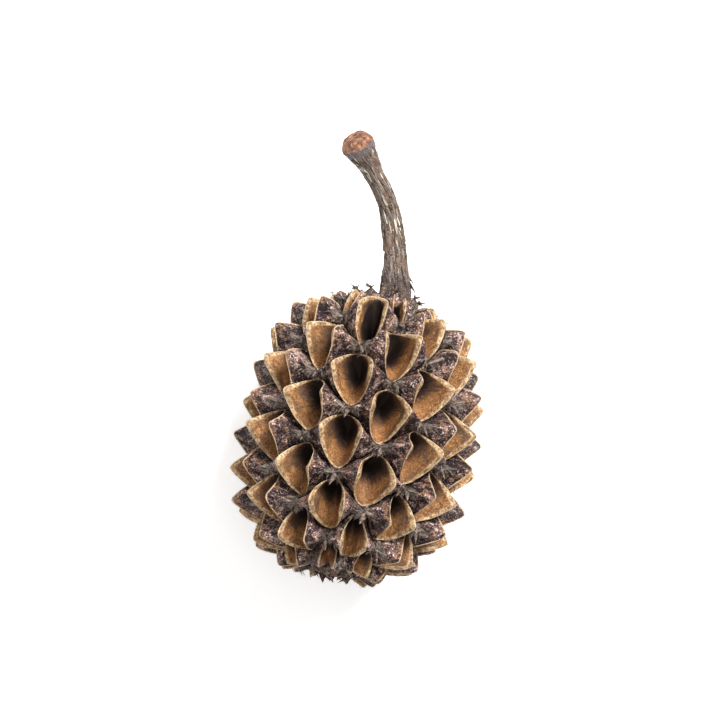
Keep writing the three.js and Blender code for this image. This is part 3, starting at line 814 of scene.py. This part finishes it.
along = outward + lean[:, None] * tipward - sway[:, None] * around
along /= np.linalg.norm(along, axis=-1, keepdims=True)
end_length = np.where(blade < LONG_END_BLADES, END_SPLINTER_LENGTH, SHORT_END_LENGTH)
length = np.where(is_tooth, TOOTH_LENGTH, SPLINTER_LENGTH)
length = np.where(at_end, np.where(is_tooth, END_TOOTH_LENGTH, end_length), length)
length = length * size * (1 + LENGTH_VARIES * vary(row, column, 50 + blade))
width = np.where(is_tooth, TOOTH_WIDTH, SPLINTER_WIDTH)
width = np.where(at_end, np.where(is_tooth, END_TOOTH_WIDTH, END_SPLINTER_WIDTH), width)
width = width * size * (1 + WIDTH_VARIES * vary(row, column, 60 + blade))
thickness = BLADE_THICKNESS * width + BLADE_THINNEST
grid, tip = blades(base, along, around, length, width, thickness, BLADE_BEND * length)
tooth_points, tooth_quads, tooth_triangles, share = blade_faces(grid, tip)
dark = blade_values(np.where(at_end, 0.85 + 0.15 * is_tooth, 0.35 * is_tooth))

fibre = Nodes("bract_fibre", 0.85, 0.8, 0.05)
share_along, dark_part = fibre.attribute("share"), fibre.attribute("dark")
coarse = fibre.noise(fibre.place, 5.0, 5, 0.7)
fine = fibre.noise(fibre.place, 14.0, 4, 0.75)
colour = fibre.ramp(
    coarse, (0.36, (0.028, 0.02, 0.017)), (0.5, (0.15, 0.113, 0.093)), (0.64, (0.45, 0.36, 0.29))
)
colour = fibre.mix(fibre.smooth(fine, 0.53, 0.68), colour, (0.45, 0.36, 0.29))
colour = fibre.paint(colour, fibre.smooth(share_along, 0.75, 1.0), 0.35, (0.05, 0.032, 0.026))
brown = fibre.ramp(
    coarse, (0.36, (0.02, 0.012, 0.01)), (0.5, (0.09, 0.055, 0.042)), (0.64, (0.34, 0.22, 0.16))
)
colour = fibre.mix(dark_part, colour, brown)
bract_fibre = fibre.finish(colour, fibre.plus(coarse, fine))
add_piece(
    "bract_tips",
    at_rest(tooth_points),
    tooth_quads,
    tooth_triangles,
    bract_fibre,
    {"share": share, "dark": dark},
    None,
)

# The stalk: a dry twig with twisted bark strands, swollen at its foot and flared at the end where it
# was shed. It is one grown piece of grey-brown bark over pale wood, which shows in long slits on its
# outer half. The flared end is a low, ragged, rusty dome in a grey collar, its band under the dome
# partly painted shade.
STALK_LINE = np.array(
    [
        (0.45, 8.9, 0),
        (0.6, 10.9, 0.05),
        (0.14, 13.45, 0.1),
        (-0.4, 15.5, 0.25),
        (-1.4, 17.8, 0.85),
        (-3.0, 19.75, 2.0),
        (-4.38, 21.17, 3.3),
    ]
)
STALK_RADII = np.array([0.8, 1.2, 0.9, 0.82, 0.76, 0.78, 1.28])
STALK_AROUND = 132
STALK_STEPS = 420
STRAND_TWIST = 1.1
BARK_RELIEF = 0.075
END_RAGGED = 0.1
COLLAR_FROM = 0.93
DOME_RISE = 1.25
DOME_MIDDLE = 0.55
DOME_RAGGED = 0.09
DOME_SHARES = np.array([0.96, 0.88, 0.75, 0.6, 0.45, 0.3, 0.15])
FRAME_STEP = 0.004


def smooth_line(values, share):
    """A Catmull-Rom curve through the values, with share 0 at the first of them and 1 at the last."""
    ends = np.concatenate([[2 * values[0] - values[1]], values, [2 * values[-1] - values[-2]]])
    at = np.clip(share, 0, 1) * (len(values) - 1)
    first = np.minimum(at.astype(int), len(values) - 2)
    t = (at - first).reshape((-1,) + (1,) * (values.ndim - 1))
    a, b, c, d = (ends[first + k] for k in range(4))
    square, cube = 2 * a - 5 * b + 4 * c - d, 3 * b - a - 3 * c + d
    return 0.5 * (2 * b + (c - a) * t + square * t**2 + cube * t**3)


def stalk_frame(share):
    """The stalk's middle, forward, side and up vectors at each share of its length."""
    middle = smooth_line(STALK_LINE, share)
    forward = smooth_line(STALK_LINE, share + FRAME_STEP) - smooth_line(STALK_LINE, share - FRAME_STEP)
    forward /= np.linalg.norm(forward, axis=-1, keepdims=True)
    side = np.array([1.0, 0, 0]) - forward * forward[:, :1]
    side /= np.linalg.norm(side, axis=-1, keepdims=True)
    return middle, forward, side, np.cross(forward, side)


share = np.linspace(0, 1, STALK_STEPS + 1)
middle, forward, side, up = stalk_frame(share)
turn = 2 * np.pi * np.arange(STALK_AROUND) / STALK_AROUND
share_grid, turn_grid = np.meshgrid(share, turn, indexing="ij")
lean = turn_grid + STRAND_TWIST * share_grid
around_at = np.stack([np.cos(lean), np.sin(lean), 0 * lean], -1)
along_at = np.stack([0 * lean, 0 * lean, share_grid], -1)
layer = 1.5 * soft_noise(2.2 * around_at + 8 * along_at, 8)
layer = layer + 0.5 * soft_noise(4.4 * around_at + 17 * along_at, 9)
strand = layer - np.floor(layer)
lumps = soft_noise(1.3 * around_at + 6 * along_at, 11)
fine = soft_noise(6.5 * around_at + 34 * along_at, 10)
relief = BARK_RELIEF * (lumps + 1.5 * (strand - 0.5) + 0.5 * fine)
relief = relief * np.sin(np.pi * np.clip(share_grid, 0.02, 0.985)) ** 0.3
collar = np.clip((share_grid - COLLAR_FROM) / (1 - COLLAR_FROM), 0, 1) ** 2
ragged = soft_noise(1.3 * around_at, 12) + 0.4 * soft_noise(4 * around_at, 13)
radius = smooth_line(STALK_RADII, share)[:, None] + relief + END_RAGGED * collar * ragged
tube = (
    middle[:, None]
    + side[:, None] * (radius * np.cos(turn_grid))[..., None]
    + up[:, None] * (radius * np.sin(turn_grid))[..., None]
    + forward[:, None] * (END_RAGGED * collar * soft_noise(1.7 * around_at, 14))[..., None]
)
dome = []
for s in DOME_SHARES:
    lift = DOME_RISE * (1 - s**2.5) * (DOME_MIDDLE + (1 - DOME_MIDDLE) * s)
    lift = lift + DOME_RAGGED * soft_noise(2.2 * s * tube[-1] + 3.3, 15) * (1 - s**6)
    dome.append(middle[-1] + (tube[-1] - middle[-1]) * s + forward[-1] * lift[:, None])
rings = np.concatenate([tube, np.stack(dome)])
numbers = np.arange(rings[..., 0].size).reshape(rings.shape[:2])
ends = np.stack([middle[0], middle[-1] + forward[-1] * DOME_MIDDLE * DOME_RISE])
flat = np.zeros((len(dome), STALK_AROUND))
on_dome = np.concatenate([0 * strand, flat + 1])
edge = np.concatenate([strand, flat + 0.5])
share_along = np.concatenate([share_grid, flat + 1])
bark_grain = np.stack([2 * np.cos(lean), 2 * np.sin(lean), 12 * share_grid], -1)
bark_grain = np.concatenate([bark_grain, np.repeat(bark_grain[-1:], len(dome), 0)])

bark = Nodes("stalk_bark", 0.85, 1.0, 0.09)
grain = bark.attribute("grain", vector=True)
edge_value, dome_value, along_value = (bark.attribute(name) for name in ("edge", "dome", "along"))
strands = bark.noise(bark.vector("MULTIPLY", grain, (3.2, 3.2, 1.1)), 1.0, 5, 0.7)
fine = bark.noise(bark.place, 9.0, 5, 0.75)
patch = bark.noise(bark.place, 1.0, 3, 0.6)
colour = bark.ramp(
    strands,
    (0.36, (0.03, 0.02, 0.017)),
    (0.47, (0.12, 0.085, 0.066)),
    (0.58, (0.27, 0.21, 0.16)),
    (0.68, (0.62, 0.53, 0.43)),
)
colour = bark.paint(colour, bark.smooth(patch, 0.5, 0.6), 0.6, (0.17, 0.09, 0.06))
colour = bark.paint(colour, bark.smooth(patch, 0.46, 0.38), 0.5, (0.14, 0.11, 0.125))
colour = bark.paint(colour, bark.smooth(fine, 0.53, 0.66), 0.6, (0.55, 0.47, 0.39))
colour = bark.paint(colour, bark.smooth(fine, 0.45, 0.36), 0.85, (0.035, 0.025, 0.022))
foot = bark.times(bark.smooth(along_value, 0.3, 0.2), bark.smooth(fine, 0.66, 0.42))
colour = bark.paint(colour, foot, 0.85, (0.045, 0.032, 0.038))
# Painted shade: a near-black line at the low side of each strand's step, under the edge of the strand
# above.
colour = bark.paint(colour, bark.smooth(edge_value, 0.2, 0.04), 0.9, (0.02, 0.014, 0.012))
slit_at = bark.noise(bark.vector("MULTIPLY", grain, (2.3, 2.3, 0.85)), 1.0, 2, 0.5)
slit = bark.times(bark.smooth(slit_at, 0.61, 0.65), bark.smooth(along_value, 0.38, 0.5))
colour = bark.mix(slit, colour, (0.8, 0.72, 0.6))
# A grey band round the stalk just under the dome: partly the collar's own grey, partly painted shade
# under the dome's rim.
collar_grey_and_shade = bark.ramp(fine, (0.35, (0.06, 0.045, 0.05)), (0.65, (0.33, 0.27, 0.27)))
colour = bark.paint(colour, bark.smooth(along_value, 0.95, 0.97), 0.75, collar_grey_and_shade)
blush = bark.noise(bark.place, 3.0, 4, 0.7)
rust = bark.ramp(
    blush, (0.35, (0.1, 0.045, 0.04)), (0.5, (0.27, 0.125, 0.085)), (0.65, (0.58, 0.3, 0.135))
)
rust = bark.paint(rust, bark.smooth(fine, 0.46, 0.36), 0.7, (0.08, 0.035, 0.025))
colour = bark.mix(dome_value, colour, rust)
height = bark.plus(bark.times(strands, 1.6), bark.times(fine, 0.9))
stalk_bark = bark.finish(colour, height)
add_piece(
    "stalk_twig",
    at_rest(np.concatenate([rings.reshape(-1, 3), ends])),
    ring_faces(numbers[:-1], numbers[1:]),
    np.concatenate(
        [fan_faces(numbers[0, ::-1], numbers.size), fan_faces(numbers[-1], numbers.size + 1)]
    ),
    stalk_bark,
    {
        "edge": np.concatenate([edge.ravel(), np.full(2, 0.5)]),
        "along": np.concatenate([share_along.ravel(), [0.0, 1.0]]),
        "dome": np.concatenate([on_dome.ravel(), [0.0, 1.0]]),
        "grain": np.concatenate([bark_grain.reshape(-1, 3), np.zeros((2, 3))]),
    },
    "stalk",
)

# Bark flakes: thin splinters of bark that lift from the stalk along its strands, thickest round its
# foot, where torn bract bases stand up. Three loose fibres stand off beside the foot.
FLAKES = 120
FOOT_FLAKES = 60
HAIR_SHARES = np.array([0.24, 0.25, 0.28])
HAIRS = len(HAIR_SHARES)
HAIR_LENGTH = 1.25
HAIR_WIDTH = 0.13
HAIR_THICKNESS = 0.18
HAIR_TILT = 0.62
FLAKE_THICKNESS = 0.07
FLAKE_SUNK = 0.08
DOWNWARD_FLAKES = 0.35
FOOT_COLOUR_AT = 0.2
draw = np.random.default_rng(7)
upper_share = draw.uniform(0.1, 0.93, FLAKES - FOOT_FLAKES)
foot_share = draw.uniform(0.12, 0.28, FOOT_FLAKES - HAIRS)
flake_share = np.concatenate([upper_share, foot_share, HAIR_SHARES])
is_hair = np.arange(FLAKES) >= FLAKES - HAIRS
flake_turn = np.where(is_hair, draw.uniform(-0.3, 0.3, FLAKES), draw.uniform(0, 2 * np.pi, FLAKES))
middle, forward, side, up = stalk_frame(flake_share)
radial = side * np.cos(flake_turn)[:, None] + up * np.sin(flake_turn)[:, None]
radius = smooth_line(STALK_RADII, flake_share)
base = middle + radial * (radius - FLAKE_SUNK)[:, None]
direction = np.where(is_hair | (draw.random(FLAKES) < DOWNWARD_FLAKES), -1.0, 1.0)
tilt = np.where(is_hair, HAIR_TILT, draw.uniform(0.05, 0.28, FLAKES))
around = np.cross(forward, radial)
sideways = around * draw.uniform(-0.25, 0.25, FLAKES)[:, None]
along = forward * direction[:, None] + radial * tilt[:, None] + sideways
along /= np.linalg.norm(along, axis=-1, keepdims=True)
length = np.where(is_hair, HAIR_LENGTH, draw.uniform(0.3, 0.95, FLAKES))
width = np.where(is_hair, HAIR_WIDTH, draw.uniform(0.1, 0.28, FLAKES))
thickness = np.where(is_hair, HAIR_THICKNESS, FLAKE_THICKNESS)
grid, tip = blades(base, along, around, length, width, thickness, np.zeros(FLAKES))
flake_points, flake_quads, flake_triangles, share = blade_faces(grid, tip)
along_stalk = blade_values(np.where(is_hair, FOOT_COLOUR_AT, flake_share))
turn = blade_values(flake_turn)
grain = np.stack([2 * np.cos(turn), 2 * np.sin(turn), 2 * share], -1)
add_piece(
    "bark_flakes",
    at_rest(flake_points),
    flake_quads,
    flake_triangles,
    stalk_bark,
    {"edge": 0 * share + 0.5, "along": along_stalk, "dome": 0 * share, "grain": grain},
    None,
)

# The studio: a white light table, one large soft lamp above the picture's top edge, a weaker one in
# front, and a camera that looks down on the lying cone from where the photograph was taken.
PIXEL = 0.0746
PICTURE_PIXELS = 720
SENSOR_WIDTH = 36
VIEW_TILT = math.radians(11.0)
PICTURE_TURN = math.radians(11.5)
PICTURE_MIDDLE = (0.119, 5.729)
CAMERA_DISTANCE = 300.0
middle_x = PICTURE_MIDDLE[0] * math.cos(PICTURE_TURN) - PICTURE_MIDDLE[1] * math.sin(PICTURE_TURN)
middle_y = PICTURE_MIDDLE[0] * math.sin(PICTURE_TURN) + PICTURE_MIDDLE[1] * math.cos(PICTURE_TURN)
camera_data = bpy.data.cameras.new("camera")
camera_data.sensor_width = SENSOR_WIDTH
camera_data.lens = SENSOR_WIDTH * CAMERA_DISTANCE / (PICTURE_PIXELS * PIXEL)
camera_data.clip_start = 0.01
camera = bpy.data.objects.new("camera", camera_data)
bpy.context.scene.collection.objects.link(camera)
camera.matrix_world = (
    Matrix.Translation(Vector(HEAD_MIDDLE) * MM)
    @ Matrix.Rotation(REST_PITCH, 4, "X")
    @ Matrix.Rotation(REST_ROLL, 4, "Y")
    @ Matrix.Rotation(VIEW_TILT, 4, "X")
    @ Matrix.Translation((middle_x * MM, middle_y * MM, CAMERA_DISTANCE * MM))
    @ Matrix.Rotation(PICTURE_TURN, 4, "Z")
)
bpy.context.scene.camera = camera

floor_mesh = bpy.data.meshes.new("floor")
floor_mesh.from_pydata([(-2, -2, 0), (2, -2, 0), (2, 2, 0), (-2, 2, 0)], [], [(0, 1, 2, 3)])
floor = bpy.data.objects.new("floor", floor_mesh)
bpy.context.scene.collection.objects.link(floor)
table = Nodes("white_table", 0.9, 0.0, 0.1)
table.shader.inputs["Base Color"].default_value = (0.9, 0.9, 0.9, 1)
table.shader.inputs["Emission Color"].default_value = (1, 1, 1, 1)
table.shader.inputs["Emission Strength"].default_value = 0.55
floor_mesh.materials.append(table.material)

world = bpy.data.worlds.new("studio")
bpy.context.scene.world = world
world.use_nodes = True
world.node_tree.nodes["Background"].inputs["Color"].default_value = (1, 1, 1, 1)
world.node_tree.nodes["Background"].inputs["Strength"].default_value = 0.22
LAMPS = (("key", (0.1, 0.26, 0.44), 4.6, 0.2), ("front", (-0.12, -0.08, 0.5), 1.0, 0.4))
LIT_POINT = Vector((0, -0.003, 0.008))
for name, place, power, width in LAMPS:
    lamp_data = bpy.data.lights.new(name, "AREA")
    lamp_data.energy = power
    lamp_data.size = width
    lamp = bpy.data.objects.new(name, lamp_data)
    bpy.context.scene.collection.objects.link(lamp)
    lamp.location = place
    lamp.rotation_euler = (LIT_POINT - lamp.location).to_track_quat("-Z", "Y").to_euler()
bpy.context.scene.view_settings.view_transform = "Standard"
